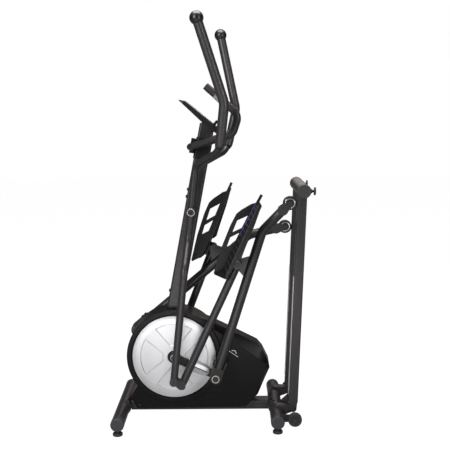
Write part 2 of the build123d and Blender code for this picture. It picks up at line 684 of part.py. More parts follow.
def crank_joint(side):
    """Bearing boss on the crank pin with a yoke bolted on the roller arm's lower end."""
    boss = rod_y(0, 0, 23, side * JOINT_START, side * JOINT_END)
    yoke_frame = Rot(0, -arm_lower_heading(), 0)
    yoke = Part()
    for s in (-1, 1):
        z0 = s * (ARM_TUBE + 0.05)
        z1 = s * (ARM_TUBE + 5)
        cheek = block(0, 78, side * (ARM_Y - 17), side * (ARM_Y + 17), z0, z1)
        yoke += fillet(cheek.edges().filter_by(Axis.Z).group_by(Axis.X)[-1], 8)
    gap = ARM_TUBE + RUNNING
    yoke += block(14, 43.9, side * (ARM_Y - 17), side * (ARM_Y + 17), -gap, gap)
    for x in (53, 68):
        for s in (-1, 1):
            yoke += rod_z(x, side * ARM_Y, 6, *sorted((s * (ARM_TUBE + 5), s * (ARM_TUBE + 10))))
    washer = rod_y(0, 0, 17, side * (JOINT_END - 2), side * (JOINT_END + 4.5))
    head = bolt_y(0, 0, side, JOINT_END + 4.5, 9, 2.5)
    return boss + yoke_frame * yoke + washer + head


def roller(side):
    """Grooved roller with a stepped hub."""
    y = side * ARM_Y
    half = ROLLER_WIDTH / 2
    tyre = rod_y(ARM_LENGTH, 0, ROLLER, y - half, y + half)
    tyre = fillet(tyre.edges().filter_by(GeomType.CIRCLE), 4)
    for s in (-1, 1):
        tyre -= ring_y(ARM_LENGTH, 0, 19.5, 9, y + s * (half - 1.5), y + s * (half + 2))
    return tyre - rod_y(ARM_LENGTH, 0, 5 + RUNNING, -300, 300)


# ---------------------------------------------------------------- rails

def rail_frame():
    """Two box rails joined by a cross tube, with hinge cheeks at their front ends."""
    frame = ring_y(0, CROSS_TUBE_Z, CROSS_TUBE, CROSS_TUBE - WALL, -CROSS_HALF + 18, CROSS_HALF - 18)
    half_x = RAIL_SIZE[0] / 2
    half_y = RAIL_SIZE[1] / 2
    for side in SIDES.values():
        y = side * ARM_Y
        rail = Pos(0, y, 0) * rect_tube(RAIL_SIZE[0], RAIL_SIZE[1], 2.5, 5, RAIL_START, RAIL_END)
        rail -= rod_y(0, CROSS_TUBE_Z, CROSS_TUBE - 0.5, -300, 300)
        frame += rail
        for s in (-1, 1):
            cheek_y = (y + s * half_y, y + s * (half_y - 5))
            frame += strap_y((0, RAIL_START + 34), (0, 0), half_x - 1, 15, *cheek_y)
        frame -= rod_y(0, 0, 6 + RUNNING, y - 40, y + 40)
        frame -= rod_x(side * RAIL_FOOT_Y, CROSS_TUBE_Z, STUD + LOOSE, 10, 40)
    return RAIL_FRAME * frame


def rail_track_strips():
    """Bright running strips on the faces that the rollers use."""
    strips = []
    for side in SIDES.values():
        y = side * ARM_Y
        x = -RAIL_SIZE[0] / 2
        strips.append(RAIL_FRAME * block(x - TRACK_STRIP, x, y - 17, y + 17, *TRACK_SPAN))
    return strips


def rail_tube_caps():
    caps = []
    for side in SIDES.values():
        cap = rod_y(0, CROSS_TUBE_Z, CROSS_TUBE + 0.6, side * (CROSS_HALF - 18), side * CROSS_HALF)
        cap = fillet(cap.edges().group_by(Axis.Y)[0 if side == LEFT else -1], 4)
        caps.append(RAIL_FRAME * cap)
    return caps


def rail_foot(side):
    """Screw-in foot on the back of the cross tube; it stands on the floor when unfolded."""
    y = side * RAIL_FOOT_Y
    disc = rod_x(y, CROSS_TUBE_Z, 16, RAIL_FOOT_REACH - 7, RAIL_FOOT_REACH)
    disc = fillet(disc.edges().filter_by(GeomType.CIRCLE), 2)
    stem = rod_x(y, CROSS_TUBE_Z, STUD, 12, RAIL_FOOT_REACH - 7)
    nut = rod_x(y, CROSS_TUBE_Z, 8.5, CROSS_TUBE + 0.5, CROSS_TUBE + 6)
    return RAIL_FRAME * (disc + stem + nut)


def rail_hinge_brackets():
    """A lug on each side of the rear stabilizer, with the hinge pin that the rail turns on."""
    pieces = []
    for side in SIDES.values():
        y = side * ARM_Y
        inner = y - 17.5
        outer = y + 17.5
        root = (REAR_X + 6, STABILIZER_Z + 12)
        lug = strap_y(root, RAIL_HINGE, 24, 13, inner, outer)
        lug -= rod_y(REAR_X, STABILIZER_Z, STABILIZER_TUBE, -300, 300)
        lug -= rod_y(*RAIL_HINGE, 6, -300, 300)
        half = RAIL_SIZE[1] / 2
        pin = rod_y(*RAIL_HINGE, 6, y - half - 2, y + half + 2)
        heads = rod_y(*RAIL_HINGE, 10, y + half + 0.5, y + half + 5)
        heads += rod_y(*RAIL_HINGE, 10, y - half - 5, y - half - 0.5)
        pieces += [lug, pin + heads]
    plate = strap_y((REAR_X + 16, STABILIZER_Z + 16), LOCK_PIN, 16, 12, *LOCK_PLATE)
    plate -= rod_y(REAR_X, STABILIZER_Z, STABILIZER_TUBE, -300, 300)
    pieces.append(plate - rod_y(*LOCK_PIN, 4 + RUNNING, -300, 300))
    return pieces


def fold_lock_knob():
    """Spring-loaded pull knob beside the left hinge."""
    y_tip = -(ARM_Y - RAIL_SIZE[1] / 2 - 1)
    pin = rod_y(*LOCK_PIN, 4, y_tip, -50)
    grip = rod_y(*LOCK_PIN, 13, -66, -44)
    grip = fillet(grip.edges().filter_by(GeomType.CIRCLE), 3)
    return pin + grip


# ---------------------------------------------------------------- crank and drive

def crank_axle():
    shaft = rod_y(*AXLE, AXLE_RADIUS, -CRANK_ARM_INNER, CRANK_ARM_INNER)
    ends = rod_y(*AXLE, 7, -CRANK_ARM_OUTER, CRANK_ARM_OUTER)
    return shaft + ends


def crank_arm(side):
    """Flat steel crank with a boss at each end; the pin's end nut is on the axle."""
    way = 1 if side == LEFT else -1
    pin = (way * CRANK_LENGTH, 0)
    arm = strap_y((0, 0), pin, 17, 15, side * CRANK_ARM_INNER, side * CRANK_ARM_OUTER)
    arm += rod_y(0, 0, 21, side * CRANK_ARM_INNER, side * (CRANK_ARM_OUTER + 3))
    arm += rod_y(*pin, 21, side * CRANK_ARM_INNER, side * CRANK_BOSS_END)
    arm -= rod_y(0, 0, 7, -CRANK_ARM_OUTER, CRANK_ARM_OUTER)
    return CRANK_FRAME * arm


def crank_disc(side):
    """Dished disc with four sunk sectors, a hub and a moulded cover along the crank."""
    way = 1 if side == LEFT else -1
    disc = rod_y(0, 0, DISC_RADIUS, side * DISC_INNER, side * DISC_OUTER)
    rim_edge = disc.edges().filter_by(GeomType.CIRCLE).group_by(Axis.Y)[0 if side == LEFT else -1]
    disc = fillet(rim_edge, 2.5)
    cover = strap_y((way * 40, 0), (way * 150, 0), 24, 21, side * DISC_OUTER, side * (CRANK_ARM_OUTER - 3))
    cover -= block(way * -20, way * 260, side * (CRANK_ARM_INNER - 1), side * 95, -19, 19)
    disc += cover
    disc -= rod_y(way * CRANK_LENGTH, 0, 23, side * (CRANK_ARM_INNER - 1), side * 120)
    disc -= rod_y(0, 0, 23, side * (CRANK_ARM_INNER - 1), side * 120)
    return CRANK_FRAME * (disc - rod_y(0, 0, AXLE_RADIUS, -200, 200))


def drive_pulley():
    """Large belt wheel with eight round lightening holes."""
    y0, y1 = PULLEY_Y
    wheel = rod_y(0, 0, PULLEY_RADIUS, y0, y1) - ring_y(0, 0, PULLEY_RADIUS - 8, 32, y0 - 1, y0 + 3)
    wheel -= ring_y(0, 0, PULLEY_RADIUS - 8, 32, y1 - 3, y1 + 1)
    for i in range(8):
        wheel -= rod_y(*polar((0, 0), 92, i * 45), 24, y0 - 1, y1 + 1)
    return CRANK_FRAME * (wheel - rod_y(0, 0, AXLE_RADIUS, -200, 200))


def crank_bearings():
    return [ring_y(*AXLE, 17.5, AXLE_RADIUS + RUNNING, side * 14, side * 26) for side in SIDES.values()]


def flywheel():
    """Heavy rim on a thin web, with the small belt pulley on the same hub."""
    y0, y1 = FLYWHEEL_Y
    wheel = rod_y(*FLYWHEEL, FLYWHEEL_RADIUS, y0, y1)
    for a, b in ((y0 - 1, y0 + 7), (y1 - 7, y1 + 1)):
        wheel -= ring_y(*FLYWHEEL, FLYWHEEL_RADIUS - 26, 22, a, b)
    wheel += rod_y(*FLYWHEEL, 14, y0 - 3, PULLEY_Y[1] + 2)
    wheel += rod_y(*FLYWHEEL, SMALL_PULLEY, *PULLEY_Y)
    return wheel - rod_y(*FLYWHEEL, 6 + RUNNING, -100, 100)


def flywheel_axle():
    shaft = rod_y(*FLYWHEEL, 6, -36, 54)
    return shaft + rod_y(*FLYWHEEL, 9, -38, -32) + rod_y(*FLYWHEEL, 9, 50, 56)


def belt_outline(grow):
    """The loop round both pulleys, this far outside their rims: two arcs and two straight runs."""
    big = PULLEY_RADIUS + grow
    small = SMALL_PULLEY + grow
    way = heading(AXLE, FLYWHEEL)
    lean = math.degrees(math.acos((big - small) / math.dist(AXLE, FLYWHEEL)))
    y0, y1 = PULLEY_Y
    body = plate_y(
        [
            polar(AXLE, big, way + lean),
            polar(FLYWHEEL, small, way + lean),
            polar(FLYWHEEL, small, way - lean),
            polar(AXLE, big, way - lean),
        ],
        y0 + 1,
        y1 - 1,
    )
    return body + rod_y(*AXLE, big, y0 + 1, y1 - 1) + rod_y(*FLYWHEEL, small, y0 + 1, y1 - 1)


def drive_belt():
    return belt_outline(BELT + 0.3) - belt_outline(0.3)


def brake_magnet_bracket():
    """Curved channel over the flywheel's rim, on a pivot of its own."""
    band = ring_y(*FLYWHEEL, FLYWHEEL_RADIUS + 9, FLYWHEEL_RADIUS + 4, -27, 7)
    for y0, y1 in ((-27, -24.5), (4.5, 7)):
        band += ring_y(*FLYWHEEL, FLYWHEEL_RADIUS + 5, FLYWHEEL_RADIUS - 20, y0, y1)
    sector = plate_y(
        [FLYWHEEL] + [polar(FLYWHEEL, 160, a) for a in (138, 180)],
        -60,
        60,
    )
    band &= sector
    tab = strap_y(BRAKE_PIVOT, polar(FLYWHEEL, FLYWHEEL_RADIUS + 7, 172), 11, 7, -27, -24.5)
    tab -= rod_y(*FLYWHEEL, FLYWHEEL_RADIUS + 4, -60, 60)
    pin = rod_y(*BRAKE_PIVOT, 5, -38, -24.5)
    return band + tab + pin


# ---------------------------------------------------------------- export

save("main_frame", main_frame())
save("front_stabilizer", stabilizer(FRONT_X, FRONT_HALF))
save("rear_stabilizer", rear_stabilizer())
save("stabilizer_end_caps", stabilizer_end_caps())
save("frame_fasteners", frame_fasteners())
save("mast", mast())
save("swing_pivot_axle", swing_pivot_axle())
save("fixed_handlebar", fixed_handlebar())
save("pulse_sensors", pulse_sensors())
save("handlebar_clamp_cover", handlebar_clamp_cover())
save("console_housing", console_housing())
save("console_lens", console_lens())
for label, y in BUTTON_YS.items():
    save(f"console_button_{label}", console_button(y))
save("crank_axle", crank_axle())
save("crank_bearings", crank_bearings())
save("drive_pulley", drive_pulley())
save("drive_belt", drive_belt())
save("flywheel", flywheel())
save("flywheel_axle", flywheel_axle())
save("brake_magnet_bracket", brake_magnet_bracket())
save("rail_frame", rail_frame())
save("rail_track_strips", rail_track_strips())
save("rail_tube_caps", rail_tube_caps())
save("rail_hinge_brackets", rail_hinge_brackets())
save("fold_lock_knob", fold_lock_knob())

for name, side in SIDES.items():
    place = SIDE[name]
    save(f"housing_{name}_shell", housing_shell(side))
    save(f"crank_arm_{name}", crank_arm(side))
    save(f"crank_disc_{name}", crank_disc(side))
    save(f"swing_arm_{name}", place["swing"] * swing_arm(side))
    save(f"swing_arm_bolt_{name}", [place["swing"] * piece for piece in swing_arm_bolt(side)])
    save(f"upper_handle_{name}", place["swing"] * upper_handle(side))
    save(f"handle_grip_{name}", place["swing"] * handle_grip(side))
    save(f"handle_ball_{name}", place["swing"] * handle_ball(side))
    save(f"pedal_link_{name}", place["link"] * pedal_link(side))
    save(f"pedal_{name}", place["link"] * pedal(side))
    save(f"roller_arm_{name}", place["arm"] * roller_arm(side))
    save(f"crank_joint_{name}", place["arm"] * crank_joint(side))
    save(f"roller_{name}", place["arm"] * roller(side))
    save(f"rail_foot_{name}", rail_foot(side))
    save(f"front_foot_{name}", stabilizer_foot(FRONT_X, side, FRONT_HALF))
    save(f"rear_foot_{name}", stabilizer_foot(REAR_X, side, REAR_HALF))
    wheel_y = (side * WHEEL_INNER, side * (WHEEL_INNER + WHEEL_WIDTH))
    wheel = ring_y(*WHEEL, WHEEL_RADIUS, 5 + RUNNING, *wheel_y)
    save(f"transport_wheel_{name}", wheel)
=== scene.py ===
"""Looks of a folding elliptical trainer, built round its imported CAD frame. Everything is in metres."""
import json
import math

import bmesh
import bpy
from mathutils import Matrix, Vector


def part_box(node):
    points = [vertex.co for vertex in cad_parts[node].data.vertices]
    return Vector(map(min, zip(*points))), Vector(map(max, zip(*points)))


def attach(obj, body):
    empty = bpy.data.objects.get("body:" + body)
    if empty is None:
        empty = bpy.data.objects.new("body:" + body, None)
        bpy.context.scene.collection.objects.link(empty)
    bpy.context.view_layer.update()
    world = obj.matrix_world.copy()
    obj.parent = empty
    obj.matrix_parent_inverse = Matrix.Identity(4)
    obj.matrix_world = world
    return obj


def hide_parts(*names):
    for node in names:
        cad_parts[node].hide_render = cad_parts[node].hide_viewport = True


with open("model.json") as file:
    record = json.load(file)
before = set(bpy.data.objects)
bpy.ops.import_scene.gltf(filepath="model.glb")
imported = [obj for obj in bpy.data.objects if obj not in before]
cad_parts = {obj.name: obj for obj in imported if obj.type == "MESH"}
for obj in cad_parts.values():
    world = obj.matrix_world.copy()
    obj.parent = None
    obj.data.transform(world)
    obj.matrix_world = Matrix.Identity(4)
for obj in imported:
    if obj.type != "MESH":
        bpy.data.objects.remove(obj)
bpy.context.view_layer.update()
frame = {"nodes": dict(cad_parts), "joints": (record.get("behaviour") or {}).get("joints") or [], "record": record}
NODES = frame["nodes"]
RECORD = frame["record"]
JOINTS = {joint["name"]: joint for joint in frame["joints"]}
SIDES = {"left": -1, "right": 1}

# Camera, solved from the machine's own known points.
CAMERA_PLACE = Vector((0.0885, -3.3755, 1.2549))
CAMERA_DOWN = math.radians(7.485)
CAMERA_TURN = math.radians(-0.616)
CAMERA_ROLL = math.radians(-0.599)
CAMERA_LENS = 65.78

MM = 0.001


# ---------------------------------------------------------------- places that come from the frame

def joint_point(name):
    return Vector(JOINTS[name]["pos_m"])


def box_middle(name):
    low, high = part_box(name)
    return (low + high) / 2


def outer_face(name, side):
    """How far the node reaches towards its own side, as a distance from the middle plane."""
    low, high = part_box(name)
    return -low.y if side < 0 else high.y


def side_frame(origin, along):
    """Matrix of a part drawn in the side view: +X runs along, +Y is across, +Z is up from it."""
    x_axis = Vector((along.x, 0, along.z)).normalized()
    z_axis = x_axis.cross(Vector((0, 1, 0)))
    rows = Matrix((x_axis, Vector((0, 1, 0)), z_axis)).transposed().to_4x4()
    rows.translation = Vector((origin.x, 0, origin.z))
    return rows


AXLE = joint_point("crank_spin")
MAST_PIVOT = joint_point("swing_handle_left_pivot")
LINK_PIVOT = {name: joint_point(f"pedal_link_{name}_pivot") for name in SIDES}
CRANK_PIN = {name: joint_point(f"roller_arm_{name}_pivot") for name in SIDES}
LOW_BOLT = {name: box_middle(f"swing_arm_bolt_{name}") for name in SIDES}
ROLLER = {name: joint_point(f"roller_{name}_spin") for name in SIDES}


# ---------------------------------------------------------------- materials

def mapped_noise(tree, coords, scale, detail, stretch=(1, 1, 1)):
    mapping = tree.nodes.new("ShaderNodeMapping")
    mapping.inputs["Scale"].default_value = stretch
    tree.links.new(coords.outputs["Object"], mapping.inputs["Vector"])
    noise = tree.nodes.new("ShaderNodeTexNoise")
    noise.inputs["Scale"].default_value = scale
    noise.inputs["Detail"].default_value = detail
    tree.links.new(mapping.outputs["Vector"], noise.inputs["Vector"])
    return noise


def surface(name, dark, light, rough, grain, bump, metallic=0.0, coat=0.0, stretch=(1, 1, 1), wear=0.0,
            gloss=0.5):
    """Principled surface whose colour, roughness and relief vary with noise in the object's space."""
    material = bpy.data.materials.new(name)
    material.use_nodes = True
    tree = material.node_tree
    shader = tree.nodes["Principled BSDF"]
    coords = tree.nodes.new("ShaderNodeTexCoord")
    broad = mapped_noise(tree, coords, 9.0, 3.0)
    fine = mapped_noise(tree, coords, grain, 4.0, stretch)
    mix = tree.nodes.new("ShaderNodeMix")
    mix.data_type = "RGBA"
    mix.inputs["A"].default_value = (*dark, 1)
    mix.inputs["B"].default_value = (*light, 1)
    tree.links.new(broad.outputs["Fac"], mix.inputs["Factor"])
    colour = mix.outputs["Result"]
    if wear:
        colour = worn_edges(tree, colour, light, wear)
    tree.links.new(colour, shader.inputs["Base Color"])
    spread = tree.nodes.new("ShaderNodeMapRange")
    spread.inputs["To Min"].default_value = rough * 0.85
    spread.inputs["To Max"].default_value = min(1.0, rough * 1.15)
    tree.links.new(fine.outputs["Fac"], spread.inputs["Value"])
    tree.links.new(spread.outputs["Result"], shader.inputs["Roughness"])
    relief = tree.nodes.new("ShaderNodeBump")
    relief.inputs["Distance"].default_value = bump
    relief.inputs["Strength"].default_value = 0.6
    tree.links.new(fine.outputs["Fac"], relief.inputs["Height"])
    tree.links.new(relief.outputs["Normal"], shader.inputs["Normal"])
    shader.inputs["Metallic"].default_value = metallic
    shader.inputs["Specular IOR Level"].default_value = gloss
    shader.inputs["Coat Weight"].default_value = coat
    shader.inputs["Coat Roughness"].default_value = 0.25
    return material


def worn_edges(tree, colour, light, amount):
    """Brightens the sharpest edges a little, as handling does."""
    geometry = tree.nodes.new("ShaderNodeNewGeometry")
    ramp = tree.nodes.new("ShaderNodeMapRange")
    ramp.inputs["From Min"].default_value = 0.52
    ramp.inputs["From Max"].default_value = 0.62
    ramp.inputs["To Max"].default_value = amount
    tree.links.new(geometry.outputs["Pointiness"], ramp.inputs["Value"])
    mix = tree.nodes.new("ShaderNodeMix")
    mix.data_type = "RGBA"
    mix.inputs["B"].default_value = (*[min(1.0, c * 2.5) for c in light], 1)
    tree.links.new(colour, mix.inputs["A"])
    tree.links.new(ramp.outputs["Result"], mix.inputs["Factor"])
    return mix.outputs["Result"]


def glass(name, tint):
    material = surface(name, tint, tint, 0.06, 400.0, 0.00001)
    shader = material.node_tree.nodes["Principled BSDF"]
    shader.inputs["Alpha"].default_value = 0.85
    shader.inputs["Coat Weight"].default_value = 1.0
    return material


MATERIALS = {
    "frame_paint": surface("frame_paint", (0.030, 0.028, 0.030), (0.038, 0.036, 0.038), 0.40, 900, 0.000004,
                           metallic=0.35, coat=0.12, gloss=0.4),
    "mast_paint": surface("mast_paint", (0.030, 0.027, 0.028), (0.037, 0.034, 0.035), 0.40, 900, 0.000004,
                          metallic=0.35, coat=0.12, gloss=0.4),
    "housing_black": surface("housing_black", (0.0038, 0.0034, 0.0037), (0.0055, 0.0049, 0.0053),
                             0.34, 1100, 0.00003, coat=0.04, gloss=0.14),
    "disc_silver": surface("disc_silver", (0.60, 0.60, 0.62), (0.66, 0.66, 0.68), 0.34, 1600, 0.00002,
                           metallic=0.55, coat=0.2),
    "black_plastic": surface("black_plastic", (0.0055, 0.0054, 0.0058), (0.008, 0.0078, 0.0084), 0.42, 1500,
                             0.00006, gloss=0.28),
    "cap_plastic": surface("cap_plastic", (0.024, 0.025, 0.029), (0.031, 0.032, 0.037), 0.5, 1300, 0.00010),
    "foam": surface("foam", (0.020, 0.018, 0.019), (0.027, 0.024, 0.025), 0.40, 1900, 0.00005, gloss=0.7),
    "rubber": surface("rubber", (0.012, 0.012, 0.013), (0.018, 0.018, 0.019), 0.62, 1200, 0.00012),
    "roller_tyre": surface("roller_tyre", (0.012, 0.012, 0.013), (0.018, 0.018, 0.019), 0.4, 900, 0.00006),
    "bolt_steel": surface("bolt_steel", (0.022, 0.020, 0.020), (0.045, 0.042, 0.041), 0.34, 900, 0.00004,
                          metallic=0.8, wear=0.3),
    "bright_steel": surface("bright_steel", (0.62, 0.59, 0.56), (0.74, 0.71, 0.68), 0.28, 900, 0.00004,
                            metallic=0.9),
    "cast_rim": surface("cast_rim", (0.08, 0.08, 0.085), (0.12, 0.12, 0.125), 0.5, 500, 0.0002,
                        metallic=0.5),
    "track_metal": surface("track_metal", (0.56, 0.53, 0.50), (0.66, 0.63, 0.60), 0.34, 900, 0.00005,
                           metallic=0.7, stretch=(1, 1, 0.03)),
    "sensor_metal": surface("sensor_metal", (0.70, 0.70, 0.72), (0.78, 0.78, 0.80), 0.16, 700, 0.00003,
                            metallic=1.0),
    "lens": glass("lens", (0.012, 0.014, 0.018)),
}
LOOKS = {
    "ball_gloss": surface("ball_gloss", (0.006, 0.006, 0.007), (0.009, 0.009, 0.010), 0.34, 900, 0.00001,
                          coat=0.2),
    "accent_violet": surface("accent_violet", (0.075, 0.045, 0.32), (0.10, 0.06, 0.40), 0.45, 900, 0.00005),
    "print_white": surface("print_white", (0.70, 0.70, 0.70), (0.78, 0.78, 0.78), 0.5, 900, 0.00003),
    "display": surface("display", (0.20, 0.23, 0.22), (0.24, 0.27, 0.26), 0.4, 900, 0.00002),
    "weld": surface("weld", (0.026, 0.025, 0.027), (0.040, 0.038, 0.041), 0.42, 300, 0.0006, metallic=0.5,
                    coat=0.3),
}


def paint_frame_nodes():
    for part in RECORD["subparts"]:
        mesh = NODES[part["node"]].data
        mesh.materials.clear()
        mesh.materials.append(MATERIALS[part["material_slot"]])
    for name in SIDES:
        NODES[f"handle_ball_{name}"].data.materials[0] = LOOKS["ball_gloss"]


# ---------------------------------------------------------------- mesh tools

def piece(name, mesh_data, material, body, replaces=(), smooth=35.0, bevel=0.0):
    """Turns a bmesh into a finished piece that rides on its body."""
    bmesh.ops.remove_doubles(mesh_data, verts=mesh_data.verts, dist=1e-6)
    bmesh.ops.recalc_face_normals(mesh_data, faces=mesh_data.faces)
    mesh = bpy.data.meshes.new(name)
    mesh_data.to_mesh(mesh)
    mesh_data.free()
    mesh.materials.append(material)
    obj = bpy.data.objects.new(name, mesh)
    bpy.context.scene.collection.objects.link(obj)
    for polygon in mesh.polygons:
        polygon.use_smooth = True
    mesh.set_sharp_from_angle(angle=math.radians(smooth))
    if bevel:
        modifier = obj.modifiers.new("edge", "BEVEL")
        modifier.width = bevel
        modifier.segments = 2
        modifier.limit_method = "ANGLE"
        modifier.angle_limit = math.radians(30)
    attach(obj, body)
    if replaces:
        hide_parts(*replaces)
    return obj


def turned(mesh_data, profile, centre, side, segments=72):
    """Adds a shape turned about a Y axis; the profile gives (radius, distance outward from centre.y)."""
    rings = []
    for radius, out in profile:
        ring = []
        for i in range(segments):
            angle = 2 * math.pi * i / segments
            x = centre.x + radius * math.cos(angle)
            z = centre.z + radius * math.sin(angle)
            ring.append(mesh_data.verts.new((x, centre.y + side * out, z)))
        rings.append(ring)
    for a, b in zip(rings, rings[1:]):
        for i in range(segments):
            j = (i + 1) % segments
            mesh_data.faces.new((a[i], a[j], b[j], b[i]))


def turned_z(mesh_data, profile, centre, segments=96, flutes=0, depth=0.0):
    """The same about a vertical axis; the profile gives (radius, height, fluted)."""
    rings = []
    for radius, height, fluted in profile:
        ring = []
        for i in range(segments):
            angle = 2 * math.pi * i / segments
            r = radius - (depth * (0.5 - 0.5 * math.cos(flutes * angle)) if fluted else 0.0)
            place = (centre.x + r * math.cos(angle), centre.y + r * math.sin(angle), centre.z + height)
            ring.append(mesh_data.verts.new(place))
        rings.append(ring)
    for a, b in zip(rings, rings[1:]):
        for i in range(segments):
            j = (i + 1) % segments
            mesh_data.faces.new((a[i], a[j], b[j], b[i]))
    mesh_data.faces.new(rings[0])
    mesh_data.faces.new(rings[-1])


def prism(mesh_data, outline, y0, y1, place=Matrix.Identity(4)):
    """Adds a straight-sided plate across Y from an outline of (x, z) points in the given frame."""
    lower = [mesh_data.verts.new(place @ Vector((x, y0, z))) for x, z in outline]
    upper = [mesh_data.verts.new(place @ Vector((x, y1, z))) for x, z in outline]
    mesh_data.faces.new(lower)
    mesh_data.faces.new(upper)
    count = len(outline)
    for i in range(count):
        j = (i + 1) % count
        mesh_data.faces.new((lower[i], lower[j], upper[j], upper[i]))


def rounded_path(corners, radii, step=0.005):
    """Points along straight runs joined by arcs of the given radii."""
    path = [corners[0]]
    for before, corner, after, radius in zip(corners, corners[1:], corners[2:], radii):
        u = (before - corner).normalized()
        v = (after - corner).normalized()
        half = u.angle(v) / 2
        centre = corner + (u + v).normalized() * (radius / math.sin(half))
        start = corner + u * (radius / math.tan(half)) - centre
        end = corner + v * (radius / math.tan(half)) - centre
        turn = start.angle(end)
        count = max(2, int(turn * radius / step))
        for i in range(count + 1):
            t = i / count
            arc = (start * math.sin((1 - t) * turn) + end * math.sin(t * turn)) / math.sin(turn)
            path.append(centre + arc)
    path.append(corners[-1])
    return path


def part_of_path(path, first, last, step=0.006):
    """Evenly spaced points between two fractions of a path's length."""
    lengths = [0.0]
    for a, b in zip(path, path[1:]):
        lengths.append(lengths[-1] + (b - a).length)
    whole = lengths[-1]
    count = int((last - first) * whole / step)
    points = []
    index = 0
    for i in range(count + 1):
        target = whole * (first + (last - first) * i / count)
        while index < len(path) - 2 and lengths[index + 1] < target:
            index += 1
        run = lengths[index + 1] - lengths[index]
        points.append(path[index].lerp(path[index + 1], (target - lengths[index]) / run))
    return points


def tube_along(mesh_data, points, radii, segments=40):
    """A closed tube through the points, with a radius for each."""
    direction = (points[1] - points[0]).normalized()
    across = direction.orthogonal().normalized()
    rings = []
    for i, point in enumerate(points):
        ahead = points[min(i + 1, len(points) - 1)] - points[max(i - 1, 0)]
        direction = ahead.normalized()
        across = (across - direction * across.dot(direction)).normalized()
        other = direction.cross(across)
        ring = []
        for k in range(segments):
            angle = 2 * math.pi * k / segments
            ring.append(mesh_data.verts.new(
                point + (across * math.cos(angle) + other * math.sin(angle)) * radii[i]))
        rings.append(ring)
    for a, b in zip(rings, rings[1:]):
        for k in range(segments):
            j = (k + 1) % segments
            mesh_data.faces.new((a[k], a[j], b[j], b[k]))
    mesh_data.faces.new(rings[0])
    mesh_data.faces.new(rings[-1])


# ---------------------------------------------------------------- crank disc

DISC_FACE = 68.0 * MM             # outer face of the disc, from the middle plane
DISC_BACK = 63.0 * MM
HUB_HOLE = 26.0 * MM
SECTOR_INNER = 44.0 * MM          # middle of the disc to a sector's inner edge
SECTOR_HALF = 16.5 * MM           # half the inner edge
SECTOR_OUTER = 142.0 * MM
SECTOR_SLOPE = math.radians(40.1)
SECTOR_STEPS = [(0.0, 0.0), (1.1, 1.5), (2.5, 1.5), (4.6, -1.4)]   # inset and height, mm
ARC_POINTS = 18


def sector_outline(inset):
    """One sunk sector about +X, as (x, z) points, moved inwards by the inset."""
    cos_a = math.cos(SECTOR_SLOPE)
    sin_a = math.sin(SECTOR_SLOPE)
    x0 = SECTOR_INNER + inset * sin_a
    z0 = SECTOR_HALF - inset * cos_a
    inner_run = (SECTOR_INNER + inset - x0) / cos_a
    inner = (SECTOR_INNER + inset, z0 + inner_run * sin_a)
    radius = SECTOR_OUTER - inset
    half_b = x0 * cos_a + z0 * sin_a
    run = -half_b + math.sqrt(half_b**2 - (x0**2 + z0**2 - radius**2))
    edge_angle = math.atan2(z0 + run * sin_a, x0 + run * cos_a)
    points = [(inner[0], -inner[1])]
    for i in range(ARC_POINTS + 1):
        angle = -edge_angle + 2 * edge_angle * i / ARC_POINTS
        points.append((radius * math.cos(angle), radius * math.sin(angle)))
    points.append(inner)
    return points


def disc_loop(mesh_data, points, turn, face, side):
    cos_t = math.cos(turn)
    sin_t = math.sin(turn)
    loop = []
    for x, z in points:
        place = (AXLE.x + x * cos_t - z * sin_t, side * face, AXLE.z + x * sin_t + z * cos_t)
        loop.append(mesh_data.verts.new(place))
    return loop


def join_loops(mesh_data, a, b):
    count = len(a)
    for i in range(count):
        j = (i + 1) % count
        mesh_data.faces.new((a[i], a[j], b[j], b[i]))


def loop_edges(mesh_data, loop):
    edges = []
    for a, b in zip(loop, loop[1:] + loop[:1]):
        edges.append(mesh_data.edges.get((a, b)) or mesh_data.edges.new((a, b)))
    return edges


def circle_points(radius, count=144):
    angles = [2 * math.pi * i / count for i in range(count)]
    return [(radius * math.cos(angle), radius * math.sin(angle)) for angle in angles]


def crank_disc(name, side):
    """Silver disc with four sunk sectors inside raised outlines, and a rounded rim."""
    bm = bmesh.new()
    rim = [(171.0, 0.0), (172.3, -0.5), (172.9, -1.6), (173.0, -3.0), (172.6, -5.0), (40.0, -5.0)]
    rings = [disc_loop(bm, circle_points(r * MM), 0, DISC_FACE + out * MM, side) for r, out in rim]
    for a, b in zip(rings, rings[1:]):
        join_loops(bm, a, b)
    hub = disc_loop(bm, circle_points(HUB_HOLE), 0, DISC_FACE, side)
    fill = loop_edges(bm, rings[0]) + loop_edges(bm, hub)
    for quarter in range(4):
        turn = quarter * math.pi / 2
        loops = [disc_loop(bm, sector_outline(inset * MM), turn, DISC_FACE + height * MM, side)
                 for inset, height in SECTOR_STEPS]
        for a, b in zip(loops, loops[1:]):
            join_loops(bm, a, b)
        bm.faces.new(loops[-1])
        fill += loop_edges(bm, loops[0])
    bmesh.ops.triangle_fill(bm, use_beauty=True, edges=fill)
    join_loops(bm, hub, disc_loop(bm, circle_points(HUB_HOLE), 0, DISC_BACK, side))
    join_loops(bm, disc_loop(bm, circle_points(HUB_HOLE), 0, DISC_BACK, side), rings[-1])
    piece(f"disc_{name}", bm, MATERIALS["disc_silver"], "crank",
          replaces=[f"crank_disc_{name}"], smooth=22)


COVER_SECTION = [(-26.5, 68.0), (-25.0, 76.0), (-19.5, 84.8), (-2.4, 88.0), (-1.8, 85.0), (-1.8, 68.0)]
COVER_START = 60.0 * MM
COVER_END = 160.0 * MM
COVER_TAPER = 0.9


